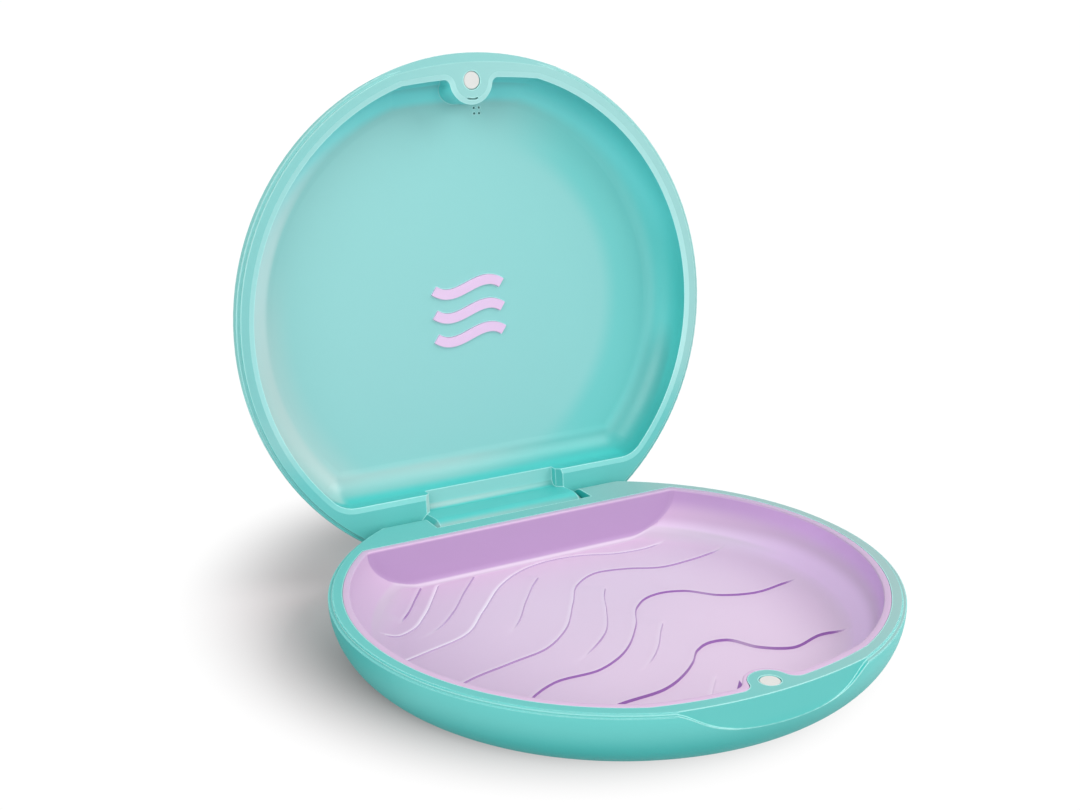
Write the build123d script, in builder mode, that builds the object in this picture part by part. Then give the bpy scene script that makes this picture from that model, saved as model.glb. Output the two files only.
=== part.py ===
from build123d import *
from math import cos, radians, sin, sqrt
import os

# Slim round aligner case, standing open: a base with a soft tray liner, a domed lid on a barrel
# hinge with a steel pin, and a pair of disc magnets that hold it shut.
# Millimetres, +Z up. The origin is the centre of the flat underside, the hinge is at +Y and the
# magnets are at -Y. The lid is drawn closed and turned about the pin onto its stop at the end.

# Case
CASE_RADIUS = 44.0
BASE_HEIGHT = 10.8
LID_HEIGHT = 8.4
LID_CROWN = 0.5
RIM_GAP = 0.2
RIM_STEP_WIDTH = 0.6
RIM_STEP_DROP = 0.35
RIM_EDGE_RADIUS = 0.15
SIDE_LAND = 0.25
BASE_WALL = 1.7
LID_WALL = 1.8

# Thumb scoop at the front of both rims
SCOOP_PLAN_RADIUS = 66.0
SCOOP_BITE = 1.7
SCOOP_HALF_WIDTH = 18.0
SCOOP_SHOULDER = 12.0
SCOOP_SHOULDER_HEIGHT = 2.1
SCOOP_HEIGHT = 4.0
SCOOP_TAPER = 15.0
LID_SCOOP_TAPER = 45.0

# Hinge
HINGE_INSET = 7.85
BARREL_RADIUS = 3.1
KNUCKLE_WIDTH = 29.0
KNUCKLE_SIDE_GAP = 0.5
KNUCKLE_FRONT_GAP = 0.7
KNUCKLE_CHAMFER = 1.0
PIN_DIAMETER = 2.0
PIN_INSET = 2.1
PIN_CHAMFER = 0.25
PIN_SEAT_GAP = 0.02
PIN_RUNNING_GAP = 0.06
OPEN_ANGLE = 95.0
REAR_LEAN_SPARE = 2.0
STOP_GAP = 0.1

# Liner of the base
BASE_LAND = 2.2
BASE_FRONT_LAND = 3.5
BASE_REAR_LAND = 6.75
LINER_FRONT_RADIUS = 60.0
LINER_FIT = 0.05
LIP_WIDTH = 1.1
LINER_FLOOR = 1.4
DISH_FILLET = 7.0
DISH_DRAFT = 4.0
REAR_FILLET = 1.2
WAVE_SLOPE = 1.5
WAVE_SINK = 0.05

# Magnets and the tabs that carry them
MAGNET_DIAMETER = 3.0
MAGNET_THICKNESS = 2.0
MAGNET_GAP = 0.05
MAGNET_SINK = 0.05
MAGNET_CHAMFER = 0.15
MAGNET_INSET = 4.6
TAB_RADIUS = 3.05
TAB_ROOT_RADIUS = 2.0
SLIT_LENGTH = 2.0
SLIT_WIDTH = 0.3
SLIT_DEPTH = 0.8

# Bowl of the lid
LID_LAND = 2.95
LID_FRONT_LAND = 4.2
LID_REAR_LAND = 6.45
BOWL_FRONT_FLATTER = 66.0
BOWL_CORNER_RADIUS = 5.5
BOWL_FILLET = 5.0
BAND_WIDTH = 0.9
BAND_DEPTH = 0.25
RECESS_WIDTH = 25.0
RECESS_DEPTH = 2.4
RECESS_FILLET = 1.2
VENT_DIAMETER = 0.4
VENT_PITCH = 0.95
VENT_INSET = 9.8
VENT_OFFSET = 3.8

# Wave inlay in the lid
INLAY_LENGTH = 13.0
INLAY_WIDTH = 1.7
INLAY_PITCH = 4.2
INLAY_SWING = 0.9
INLAY_PROUD = 0.35
INLAY_SEAT = 0.35
INLAY_GAP = 0.05

# Places that follow from the case's radius
HINGE_Y = CASE_RADIUS - HINGE_INSET
PIN_LENGTH = 2 * (sqrt(CASE_RADIUS**2 - HINGE_Y**2) - PIN_INSET)
MAGNET_Y = MAGNET_INSET - CASE_RADIUS
LINER_RADIUS = CASE_RADIUS - BASE_LAND
LINER_FRONT = CASE_RADIUS - BASE_FRONT_LAND
LINER_REAR = HINGE_Y - BASE_REAR_LAND
BOWL_RADIUS = CASE_RADIUS - LID_LAND
BOWL_FRONT = CASE_RADIUS - LID_FRONT_LAND
BOWL_FRONT_RADIUS = CASE_RADIUS + BOWL_FRONT_FLATTER
BOWL_REAR = HINGE_Y - LID_REAR_LAND
VENT_CENTRE = (VENT_OFFSET, VENT_INSET - CASE_RADIUS)

# Heights that follow
BASE_RIM = BASE_HEIGHT
LID_RIM = BASE_RIM + RIM_GAP
SPLIT_HEIGHT = BASE_RIM + RIM_GAP / 2
LID_TOP = LID_RIM + LID_HEIGHT
CEILING = LID_TOP - LID_WALL
HINGE_Z = BASE_RIM - BARREL_RADIUS
REAR_Y = HINGE_Y + BARREL_RADIUS
BASE_SIDE = BASE_HEIGHT - RIM_STEP_DROP - SIDE_LAND
LID_SIDE = LID_HEIGHT - RIM_STEP_DROP - SIDE_LAND
LINER_TOP_FLOOR = BASE_WALL + LINER_FLOOR
KNUCKLE_FRONT = HINGE_Y - BARREL_RADIUS
NOTCH_FRONT = KNUCKLE_FRONT - KNUCKLE_FRONT_GAP
NOTCH_WIDTH = KNUCKLE_WIDTH + 2 * KNUCKLE_SIDE_GAP
RECESS_FLOOR = LID_RIM + RECESS_DEPTH
REACH = 3 * CASE_RADIUS

# The base's rear face leans in a little more than the open lid leans back. The open lid stops on
# the rear edge of the notch floor, where the planes of both rear faces cross: each of them is
# tangent to the hinge barrel.
REAR_LEAN = OPEN_ANGLE - 90 + REAR_LEAN_SPARE
half_wedge = radians(OPEN_ANGLE - REAR_LEAN) / 2
halfway = radians(OPEN_ANGLE + REAR_LEAN) / 2
STOP_DROP = BARREL_RADIUS / cos(half_wedge) * sin(halfway)
NOTCH_FLOOR = HINGE_Z - STOP_DROP - STOP_GAP

# Height of a shallow arc halfway from its middle to its end, as a share of its rise
ARC_HALFWAY = 0.75


def front_arc_sketch(radius, front):
    """Disc of a large radius whose front edge lies at y = -front."""
    with Locations((0, radius - front)):
        Circle(radius, mode=Mode.INTERSECT)


def keep_front_of(rear):
    """Cut the sketch along a straight chord at y = rear."""
    with Locations((0, rear)):
        Rectangle(REACH, REACH, align=(Align.CENTER, Align.MAX), mode=Mode.INTERSECT)


def root_vertices(sketch, radius):
    """The corners where a magnet tab leaves the front edge of a sketch."""
    near = sketch.vertices().filter_by(lambda v: abs(v.X) < radius + TAB_ROOT_RADIUS)
    return near.filter_by(lambda v: v.Y < MAGNET_Y + radius / 2)


def liner_space(inset, bottom, belly_wall):
    """Body that fills the base inside its wall, less an even inset, with the tab left out."""
    with BuildPart() as space:
        with BuildSketch(Plane.XY.offset(bottom)) as outline:
            Circle(LINER_RADIUS - inset)
            front_arc_sketch(LINER_FRONT_RADIUS - inset, LINER_FRONT - inset)
            keep_front_of(LINER_REAR - inset)
            with Locations((0, MAGNET_Y)):
                Circle(TAB_RADIUS + inset, mode=Mode.SUBTRACT)
            fillet(root_vertices(outline, TAB_RADIUS), TAB_ROOT_RADIUS - inset)
        extrude(amount=BASE_RIM - bottom)
        revolve(belly_section(belly_wall), axis=Axis.Z, mode=Mode.INTERSECT)
    return space.part


def belly_section(wall):
    """Half section inside the base's round side, a wall's thickness in from its surface."""
    flat = CASE_RADIUS - BASE_SIDE
    with BuildSketch(Plane.XZ) as section:
        with BuildLine():
            Polyline((0, BASE_SIDE), (0, wall), (flat, wall))
            CenterArc((flat, BASE_SIDE), BASE_SIDE - wall, 270, 90)
            Polyline((CASE_RADIUS - wall, BASE_SIDE), (CASE_RADIUS - wall, REACH), (0, REACH),
                     (0, BASE_SIDE))
        make_face()
    return section.sketch


def shell_section(rim, side, up, crown):
    """Half section of a shell from its rim land round the side to the middle of its outside."""
    end = rim + up * (RIM_STEP_DROP + SIDE_LAND + side)
    edge = CASE_RADIUS - RIM_STEP_WIDTH
    step = rim + up * RIM_STEP_DROP
    knee = step + up * SIDE_LAND
    flat = CASE_RADIUS - side
    with BuildSketch(Plane.XZ) as section:
        with BuildLine():
            Polyline((0, end + up * crown), (0, rim), (edge, rim), (edge, step),
                     (CASE_RADIUS, step), (CASE_RADIUS, knee))
            CenterArc((flat, knee), side, 0, up * 90)
            if crown:
                ThreePointArc((flat, end), (flat / 2, end + up * ARC_HALFWAY * crown),
                              (0, end + up * crown))
            else:
                Line((flat, end), (0, end))
        make_face()
        for corner in ((edge, rim), (CASE_RADIUS, step)):
            fillet(section.vertices().sort_by_distance(corner)[0], RIM_EDGE_RADIUS)
    return section.sketch


def mouth_outline(grow, height):
    """Outline of the lid's mouth round the magnet tab, grown outwards from the bowl's wall."""
    tab = TAB_RADIUS + BAND_WIDTH - grow
    with BuildSketch(Plane.XY.offset(height)) as outline:
        Circle(BOWL_RADIUS + grow)
        front_arc_sketch(BOWL_FRONT_RADIUS + grow, BOWL_FRONT + grow)
        keep_front_of(BOWL_REAR + grow)
        fillet(outline.vertices().sort_by(Axis.Y)[-2:], BOWL_CORNER_RADIUS + grow)
        with Locations((0, MAGNET_Y)):
            Circle(tab, mode=Mode.SUBTRACT)
        fillet(root_vertices(outline, tab), TAB_ROOT_RADIUS - BAND_WIDTH + grow)
    return outline.sketch


def scoop_disc(up, taper):
    """Wide disc, flared away from the gap between the rims: a thumb scoop is cut in front of it."""
    with BuildPart() as disc:
        with BuildSketch(Plane.XY.offset(SPLIT_HEIGHT)):
            with Locations((0, SCOOP_PLAN_RADIUS - CASE_RADIUS + SCOOP_BITE)):
                Circle(SCOOP_PLAN_RADIUS)
        extrude(amount=up * 2 * SCOOP_HEIGHT, taper=-taper)
    return disc.part


def wave_step(points, step):
    """Low step along a line on the tray's floor: it faces right and slopes away on its left."""
    with BuildPart() as ridge:
        with BuildLine(Plane.XY.offset(LINER_TOP_FLOOR)) as path:
            Spline(*points)
        start = path.line @ 0
        run = path.line % 0
        with BuildSketch(Plane(start, x_dir=(-run.Y, run.X, 0), z_dir=run)):
            with BuildLine():
                Polyline((0, -LINER_FLOOR / 2), (0, step), (WAVE_SLOPE, -WAVE_SINK),
                         (WAVE_SLOPE, -LINER_FLOOR / 2), (0, -LINER_FLOOR / 2))
            make_face()
        sweep()
    return ridge.part


def magnet_disc(top, down):
    """Disc magnet below or above a land, sunk a little from it."""
    with BuildPart() as disc:
        with BuildSketch(Plane.XY.offset(top + down * MAGNET_SINK)):
            with Locations((0, MAGNET_Y)):
                Circle(MAGNET_DIAMETER / 2)
        extrude(amount=down * MAGNET_THICKNESS)
        chamfer(disc.edges().filter_by(GeomType.CIRCLE), MAGNET_CHAMFER)
    return disc.part


def inlay_bars(grow, bottom, height):
    """Three wavy bars side by side, each a sine line with round ends, grown by a clearance."""
    with BuildPart() as bars:
        with BuildSketch(Plane.XY.offset(bottom)):
            for row in (-1, 0, 1):
                middle = row * INLAY_PITCH
                quarter = INLAY_LENGTH / 4
                with BuildLine():
                    Spline((-2 * quarter, middle), (-quarter, middle + INLAY_SWING), (0, middle),
                           (quarter, middle - INLAY_SWING), (2 * quarter, middle))
                trace(line_width=INLAY_WIDTH + 2 * grow)
        extrude(amount=height)
    return bars.part


def opened(closed):
    """A closed lid piece turned about the pin onto the stop."""
    return closed.rotate(Axis((0, HINGE_Y, HINGE_Z), (1, 0, 0)), -OPEN_ANGLE)


# Base shell
liner_pocket = liner_space(0, BASE_WALL, BASE_WALL)

with BuildPart() as base_scoop:
    with BuildSketch(Plane.XZ.offset(CASE_RADIUS / 2)):
        with BuildLine():
            shoulder = BASE_RIM - SCOOP_SHOULDER_HEIGHT
            low_line = Spline((-SCOOP_HALF_WIDTH, BASE_RIM), (-SCOOP_SHOULDER, shoulder),
                              (0, BASE_RIM - SCOOP_HEIGHT), (SCOOP_SHOULDER, shoulder),
                              (SCOOP_HALF_WIDTH, BASE_RIM), tangents=((1, 0), (1, 0)))
            Polyline(low_line @ 1, (SCOOP_HALF_WIDTH, SPLIT_HEIGHT),
                     (-SCOOP_HALF_WIDTH, SPLIT_HEIGHT), low_line @ 0)
        make_face()
    extrude(amount=CASE_RADIUS)
    add(scoop_disc(-1, SCOOP_TAPER), mode=Mode.SUBTRACT)

with BuildPart() as base_shell:
    revolve(shell_section(BASE_RIM, BASE_SIDE, -1, 0), axis=Axis.Z)
    # Rear: the rim land rolls over the hinge axis into a flat face that leans in
    with BuildSketch(Plane.YZ.offset(-REACH / 2)):
        with BuildLine():
            Polyline((HINGE_Y, LID_RIM), (HINGE_Y, BASE_RIM))
            roll = CenterArc((HINGE_Y, HINGE_Z), BARREL_RADIUS, 90, -90 - REAR_LEAN)
            face_line = PolarLine(roll @ 1, BASE_HEIGHT, -90 - REAR_LEAN)
            Polyline(face_line @ 1, (REACH, -BASE_HEIGHT), (REACH, LID_RIM), (HINGE_Y, LID_RIM))
        make_face()
    extrude(amount=REACH, mode=Mode.SUBTRACT)
    add(base_scoop.part, mode=Mode.SUBTRACT)
    add(liner_pocket, mode=Mode.SUBTRACT)
    # Notch between the hinge ears, open to the rear above the stop
    with BuildSketch(Plane.XY.offset(NOTCH_FLOOR)):
        with Locations((0, NOTCH_FRONT)):
            Rectangle(NOTCH_WIDTH, REACH, align=(Align.CENTER, Align.MIN))
    extrude(amount=BASE_HEIGHT, mode=Mode.SUBTRACT)
    # Pin bore: blind in the left ear, open at the right end
    with BuildSketch(Plane.YZ.offset(-PIN_LENGTH / 2)):
        with Locations((HINGE_Y, HINGE_Z)):
            Circle(PIN_DIAMETER / 2 + PIN_SEAT_GAP)
    extrude(amount=REACH, mode=Mode.SUBTRACT)
    with BuildSketch(Plane.XY.offset(BASE_RIM)):
        with Locations((0, MAGNET_Y)):
            Circle(MAGNET_DIAMETER / 2 + MAGNET_GAP)
    extrude(amount=-(MAGNET_THICKNESS + MAGNET_SINK), mode=Mode.SUBTRACT)

# Tray liner. Each wave in its floor is a line of points and the height of its step
LINER_WAVES = (
    (((-13.9, -22.7), (-5.2, -22.5), (2.7, -17.6), (8.1, -13.4), (14.1, -18.5), (22.2, -20.1),
      (29.1, -20.5)), 0.34),
    (((-22.9, -15.5), (-10.3, -12.8), (2.1, -2.9), (9.1, 5.1), (15.3, 4.8), (22.8, -1.6),
      (34.0, -0.2)), 0.26),
    (((-29.3, -6.6), (-13.6, -2.8), (-5.5, 4.3), (0.9, 13.6), (7.2, 17.9), (18.1, 14.5),
      (31.2, 15.6)), 0.2),
    (((-31.5, 4.4), (-21.8, 7.6), (-9.3, 20.4), (0.0, 25.5), (10.0, 25.0), (24.6, 23.9)), 0.14),
    (((-31.5, 12.2), (-26.3, 14.8), (-19.1, 24.0)), 0.14),
    (((-29.2, 16.4), (-23.1, 22.5)), 0.26),
    (((-26.9, 10.6), (-20.4, 15.6), (-12.5, 25.0)), 0.2),
    (((-15.8, 4.6), (-8.2, 13.8), (-4.1, 18.7)), 0.16),
    (((-12.4, -9.1), (-3.5, -2.9), (3.7, 9.2), (6.0, 12.4)), 0.16),
    (((-5.6, -15.9), (0.9, -11.0), (7.2, -3.1)), 0.12),
)

with BuildPart() as dish:
    lip = LINER_FIT + LIP_WIDTH
    with BuildSketch(Plane.XY.offset(BASE_RIM)):
        Circle(LINER_RADIUS - lip)
        front_arc_sketch(LINER_FRONT_RADIUS - lip, LINER_FRONT - lip)
    extrude(amount=-(BASE_RIM - LINER_TOP_FLOOR), taper=DISH_DRAFT)
    fillet(dish.faces().sort_by(Axis.Z)[0].edges(), DISH_FILLET)
    with BuildSketch(Plane.XY):
        with Locations((0, LINER_REAR - lip)):
            Rectangle(REACH, REACH, align=(Align.CENTER, Align.MAX))
    extrude(amount=REACH, mode=Mode.INTERSECT)
    rear_face = dish.faces().sort_by(Axis.Y)[-1]
    fillet(rear_face.edges().sort_by(Axis.Z)[:-1], REAR_FILLET)

with BuildPart() as waves:
    for points, step in LINER_WAVES:
        add(wave_step(points, step))

liner_body = liner_space(LINER_FIT, BASE_WALL, BASE_WALL + LINER_FIT)
with BuildPart() as dish_tab:
    with BuildSketch(Plane.XY.offset(LINER_TOP_FLOOR)):
        with Locations((0, MAGNET_Y)):
            Circle(TAB_RADIUS + LINER_FIT + LIP_WIDTH)
    extrude(amount=BASE_RIM)

dish_hollow = dish.part - dish_tab.part
wave_ridges = waves.part & liner_body

with BuildPart() as tray_liner:
    add(liner_body)
    add(dish_hollow, mode=Mode.SUBTRACT)
    add(wave_ridges)

# Magnets
base_magnet_disc = magnet_disc(BASE_RIM, -1)
lid_magnet_disc = magnet_disc(LID_RIM, 1)

# Lid, drawn closed
with BuildPart() as lid_scoop:
    with BuildSketch(Plane.XY.offset(SPLIT_HEIGHT)):
        with Locations((0, -CASE_RADIUS / 2)):
            Rectangle(REACH, REACH, align=(Align.CENTER, Align.MAX))
    extrude(amount=SCOOP_HEIGHT)
    add(scoop_disc(1, LID_SCOOP_TAPER), mode=Mode.SUBTRACT)

with BuildPart() as bowl:
    with BuildSketch(Plane.XY.offset(LID_RIM)) as bowl_outline:
        Circle(BOWL_RADIUS)
        front_arc_sketch(BOWL_FRONT_RADIUS, BOWL_FRONT)
        keep_front_of(BOWL_REAR)
        fillet(bowl_outline.vertices().sort_by(Axis.Y)[-2:], BOWL_CORNER_RADIUS)
    extrude(amount=CEILING - LID_RIM)
    fillet(bowl.faces().sort_by(Axis.Z)[-1].edges(), BOWL_FILLET)

with BuildPart() as mouth_column:
    extrude(mouth_outline(0, LID_RIM), amount=LID_HEIGHT)

# Shallow band that leans in from the rim land all round the mouth
with BuildPart() as mouth_band:
    land_outline = mouth_outline(BAND_WIDTH, LID_RIM)
    wall_outline = mouth_outline(0, LID_RIM + BAND_DEPTH)
    loft([land_outline.face(), wall_outline.face()], ruled=True)

with BuildPart() as knuckle:
    with BuildSketch(Plane.YZ.offset(-KNUCKLE_WIDTH / 2)):
        with Locations((HINGE_Y, HINGE_Z)):
            Circle(BARREL_RADIUS)
            Rectangle(2 * BARREL_RADIUS, RECESS_FLOOR - HINGE_Z + LID_WALL,
                      align=(Align.CENTER, Align.MIN))
    extrude(amount=KNUCKLE_WIDTH)
    end_edges = knuckle.faces().filter_by(Axis.X).edges()
    chamfer(end_edges.filter_by(lambda e: e.center().Z < RECESS_FLOOR), KNUCKLE_CHAMFER)

with BuildPart() as recess:
    with BuildSketch(Plane.XZ.offset(-BOWL_REAR + BOWL_FILLET)):
        with BuildLine():
            narrow = RECESS_WIDTH / 2
            wide = narrow + KNUCKLE_CHAMFER
            Polyline((-wide, LID_RIM), (-narrow, LID_RIM + KNUCKLE_CHAMFER), (-narrow, RECESS_FLOOR),
                     (narrow, RECESS_FLOOR), (narrow, LID_RIM + KNUCKLE_CHAMFER), (wide, LID_RIM),
                     (wide, LID_RIM - RIM_GAP / 2), (-wide, LID_RIM - RIM_GAP / 2), (-wide, LID_RIM))
        make_face()
    extrude(amount=-(KNUCKLE_FRONT - BOWL_REAR + BOWL_FILLET))

bowl_hollow = bowl.part & mouth_column.part
inlay_seat = inlay_bars(INLAY_GAP, CEILING, INLAY_SEAT)

with BuildPart() as lid_closed:
    revolve(shell_section(LID_RIM, LID_SIDE, 1, LID_CROWN), axis=Axis.Z)
    with BuildSketch(Plane.XY):
        with Locations((0, REAR_Y)):
            Rectangle(REACH, REACH, align=(Align.CENTER, Align.MAX))
    extrude(amount=REACH, mode=Mode.INTERSECT)
    add(lid_scoop.part, mode=Mode.SUBTRACT)
    add(bowl_hollow, mode=Mode.SUBTRACT)
    add(mouth_band.part, mode=Mode.SUBTRACT)
    # Knuckle between the ears, tangent to the hinge barrel at its front and rear
    add(knuckle.part)
    add(recess.part, mode=Mode.SUBTRACT)
    crease = lid_closed.edges().filter_by(Axis.X).sort_by_distance((0, KNUCKLE_FRONT, RECESS_FLOOR))
    fillet(crease[0], RECESS_FILLET)
    with BuildSketch(Plane.YZ.offset(-CASE_RADIUS)):
        with Locations((HINGE_Y, HINGE_Z)):
            Circle(PIN_DIAMETER / 2 + PIN_RUNNING_GAP)
    extrude(amount=2 * CASE_RADIUS, mode=Mode.SUBTRACT)
    with BuildSketch(Plane.XY.offset(LID_RIM)):
        with Locations((0, MAGNET_Y)):
            Circle(MAGNET_DIAMETER / 2 + MAGNET_GAP)
    extrude(amount=MAGNET_THICKNESS + MAGNET_SINK, mode=Mode.SUBTRACT)
    # Slit in the tab's edge, on the side away from the rim
    with BuildSketch(Plane.XY.offset(LID_RIM)):
        with Locations((0, MAGNET_Y)):
            Circle(TAB_RADIUS + SLIT_WIDTH / 2)
            Circle(TAB_RADIUS - SLIT_WIDTH / 2, mode=Mode.SUBTRACT)
            Rectangle(SLIT_LENGTH, REACH, align=(Align.CENTER, Align.MIN), mode=Mode.INTERSECT)
    extrude(amount=SLIT_DEPTH, mode=Mode.SUBTRACT)
    with BuildSketch(Plane.XY.offset(CEILING - VENT_DIAMETER)):
        with Locations(VENT_CENTRE):
            with GridLocations(VENT_PITCH, VENT_PITCH, 2, 2):
                Circle(VENT_DIAMETER / 2)
    extrude(amount=LID_HEIGHT, mode=Mode.SUBTRACT)
    add(inlay_seat, mode=Mode.SUBTRACT)

with BuildPart() as lid_shell:
    add(opened(lid_closed.part))

with BuildPart() as lid_inlay:
    add(opened(inlay_bars(0, CEILING - INLAY_PROUD, INLAY_PROUD + INLAY_SEAT)))

with BuildPart() as base_magnet:
    add(base_magnet_disc)

with BuildPart() as lid_magnet:
    add(opened(lid_magnet_disc))

with BuildPart() as hinge_pin:
    with BuildSketch(Plane.YZ.offset(-PIN_LENGTH / 2)):
        with Locations((HINGE_Y, HINGE_Z)):
            Circle(PIN_DIAMETER / 2)
    extrude(amount=PIN_LENGTH)
    chamfer(hinge_pin.edges().filter_by(GeomType.CIRCLE), PIN_CHAMFER)

os.makedirs("parts", exist_ok=True)
base_shell.part.label = "base_shell"
export_step(base_shell.part, "parts/base_shell.step")
tray_liner.part.label = "tray_liner"
export_step(tray_liner.part, "parts/tray_liner.step")
base_magnet.part.label = "base_magnet"
export_step(base_magnet.part, "parts/base_magnet.step")
hinge_pin.part.label = "hinge_pin"
export_step(hinge_pin.part, "parts/hinge_pin.step")
lid_shell.part.label = "lid_shell"
export_step(lid_shell.part, "parts/lid_shell.step")
lid_magnet.part.label = "lid_magnet"
export_step(lid_magnet.part, "parts/lid_magnet.step")
lid_inlay.part.label = "lid_inlay"
export_step(lid_inlay.part, "parts/lid_inlay.step")
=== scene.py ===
import math

import bmesh
import bpy
import numpy as np
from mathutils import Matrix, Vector
from mathutils.geometry import delaunay_2d_cdt


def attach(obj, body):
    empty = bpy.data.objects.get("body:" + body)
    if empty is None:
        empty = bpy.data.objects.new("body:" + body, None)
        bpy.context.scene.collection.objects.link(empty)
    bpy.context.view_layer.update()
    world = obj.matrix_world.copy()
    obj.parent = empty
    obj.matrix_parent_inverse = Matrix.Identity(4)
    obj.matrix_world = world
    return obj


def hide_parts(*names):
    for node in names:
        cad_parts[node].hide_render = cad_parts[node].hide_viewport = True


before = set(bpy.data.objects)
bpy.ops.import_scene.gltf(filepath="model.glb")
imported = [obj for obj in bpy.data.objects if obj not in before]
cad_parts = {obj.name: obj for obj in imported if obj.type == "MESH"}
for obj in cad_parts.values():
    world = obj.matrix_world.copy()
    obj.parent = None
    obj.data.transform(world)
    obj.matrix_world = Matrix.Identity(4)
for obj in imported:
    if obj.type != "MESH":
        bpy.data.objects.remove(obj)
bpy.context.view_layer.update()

# A round aligner case standing open on a white table, in metres. The shells, magnets, pin and
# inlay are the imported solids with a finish. The soft tray liner is a mesh of its own, and its
# sizes are in millimetres.
MM = 0.001

# Tray liner: outline in plan
LINER_RADIUS = 41.8
LINER_REAR = 29.4
LINER_FRONT = 40.5
LINER_FRONT_RADIUS = 60.0
MAGNET_Y = -39.4
TAB_RADIUS = 3.05
TAB_ROOT = 2.2
REAR_CORNER = 0.5

# Tray liner: heights and wall profile
RIM = 10.8
POCKET_FLOOR = 1.7
FLOOR = 3.1
FIT = 0.05
LIP_WIDTH = 1.1
TAB_LIP_WIDTH = 0.55
LIP_ROUND = 0.18
DISH_FILLET = 7.0
DISH_DRAFT = math.tan(math.radians(4.0))
REAR_DRAFT = math.tan(math.radians(0.5))
REAR_FILLET = 1.2
WALL_TOP = RIM - LIP_ROUND - FLOOR

# The liner's outside follows the rounded side of the base: below BELLY_TOP a quarter circle, moved
# out by BELLY_OUT and stopped just short of its flat end
BELLY_TOP = RIM - 0.6
BELLY_OUT = 0.5
BELLY_SHARE = 0.999
BELLY_RINGS = 9

# Rings over the lip and down the dish's fillet, by the turns of their rounds in degrees
LIP_OUTER_TURNS = (180, 135, 90)
LIP_INNER_TURNS = (90, 68, 45, 22, 0)
DISH_TOP_TURN = 86
DISH_RINGS = 20

# Rings of the dish below the height at which they leave the level, each with its height at the
# side and at the rear wall. The floor's mesh starts inside the last one
EVEN_LEVEL = 1.2
SLANTED_LEVELS = ((1.1, 0.8), (1.02, 0.5), (0.94, 0.28), (0.87, 0.12), (0.8, 0.02))

# Rays on which the outline is found, from a place on the case's middle line: even all round, and
# closer over the magnet tab and the two rear corners. Their turns are in degrees
RAY_MIDDLE = -4.0
RAY_REACH = 60.0
EVEN_RAYS = 540
TAB_TURNS = (-101, -79)
TAB_RAYS = 150
CORNER_TURNS = (47.6, 132.4)
CORNER_SPREAD = 3
CORNER_RAYS = 30

# Waves in the liner's floor: each is a low terrace edge, given by its points in plan from the
# front left end to the rear right end, the height of its step, how strongly its upper edge is
# painted with a highlight, and the lengths over which the step fades at its two ends. The floor is
# higher on the left and rear side of the step
WAVES = (
    (((-27.0, -29.5), (-21.0, -25.2), (-13.4, -23.2), (-5.2, -22.5), (2.7, -17.6), (5.6, -14.6),
      (8.4, -13.4), (11.3, -13.9), (14.1, -18.3), (18.0, -20.9), (25.4, -19.6), (30.6, -21.0)),
     0.34, 0.1, 6.0, 4.5),
    (((-30.5, -22.5), (-26.4, -18.6), (-22.3, -15.0), (-18.0, -13.0), (-10.3, -12.8), (-5.8, -10.8),
      (2.1, -2.9), (6.0, 2.9), (9.1, 5.1), (12.5, 5.6), (15.8, 4.5), (20.0, 0.2), (25.5, -1.9),
      (31.5, -1.3), (36.2, -0.5)), 0.26, 0.2, 5.0, 5.0),
    (((-33.0, -8.6), (-29.3, -6.6), (-20.5, -4.4), (-13.6, -2.8), (-8.6, 0.8), (-2.0, 9.4),
      (2.2, 15.2), (7.2, 17.9), (12.6, 16.9), (18.1, 14.5), (24.0, 14.6), (33.0, 16.2)),
     0.20, 0.4, 4.0, 5.0),
    (((-35.5, 3.4), (-30.0, 4.9), (-21.8, 7.6), (-16.0, 13.6), (-7.6, 22.2), (-3.0, 25.0),
      (2.2, 26.3), (8.0, 25.9), (15.3, 23.2), (20.5, 22.8), (26.0, 24.2)), 0.14, 1.0, 2.5, 5.0),
    (((-34.6, 13.6), (-31.4, 12.1), (-28.2, 13.2), (-25.0, 16.4), (-20.4, 22.6), (-17.4, 27.0)),
     0.14, 1.0, 2.5, 1.0),
    (((-29.6, 15.9), (-27.6, 17.8), (-23.1, 23.7), (-20.4, 27.3)), 0.26, 0.4, 3.0, 0.6),
    (((-31.0, 9.4), (-28.4, 9.9), (-24.4, 11.9), (-20.4, 15.6), (-15.5, 21.6), (-10.7, 27.2)),
     0.2, 0.2, 12.0, 0.8),
    (((-17.6, 3.4), (-13.8, 6.6), (-8.2, 13.8), (-3.8, 19.2), (-1.4, 21.6)), 0.18, 0.2, 8.0, 1.5),
    (((-13.5, -9.8), (-7.7, -6.4), (-3.5, -2.9), (1.2, 4.4), (3.7, 9.2), (6.2, 12.8)),
     0.2, 0.2, 10.0, 2.5),
    (((-7.0, -16.9), (-2.3, -14.1), (0.9, -11.0), (4.8, -5.9), (7.4, -2.8)), 0.15, 0.2, 8.0, 2.5),
    (((-2.6, -29.8), (-0.8, -27.5), (4.2, -21.8)), 0.10, 0.2, 2.0, 3.0),
)

# Profile of a step: its width, the lengths over which it dies away behind it, in front of it and
# past the ends of its line, and the depth of the dip in front as a share of the step. LINE_PITCH
# is how closely its line is followed, and RISE_IN how far in from its ring the floor is in full
# relief
STEP_WIDTH = 0.2
STEP_DECAY = 4.0
DIP_DECAY = 1.5
END_DECAY = 0.6
STEP_DIP = 0.15
LINE_PITCH = 0.25
RISE_IN = 0.8

# Painted light on a step: its face has the full painted shade from FULL_STEP up, and a painted
# highlight lies on its upper edge over CREST_WIDTH
FULL_STEP = 0.26
CREST_WIDTH = 0.7

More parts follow.
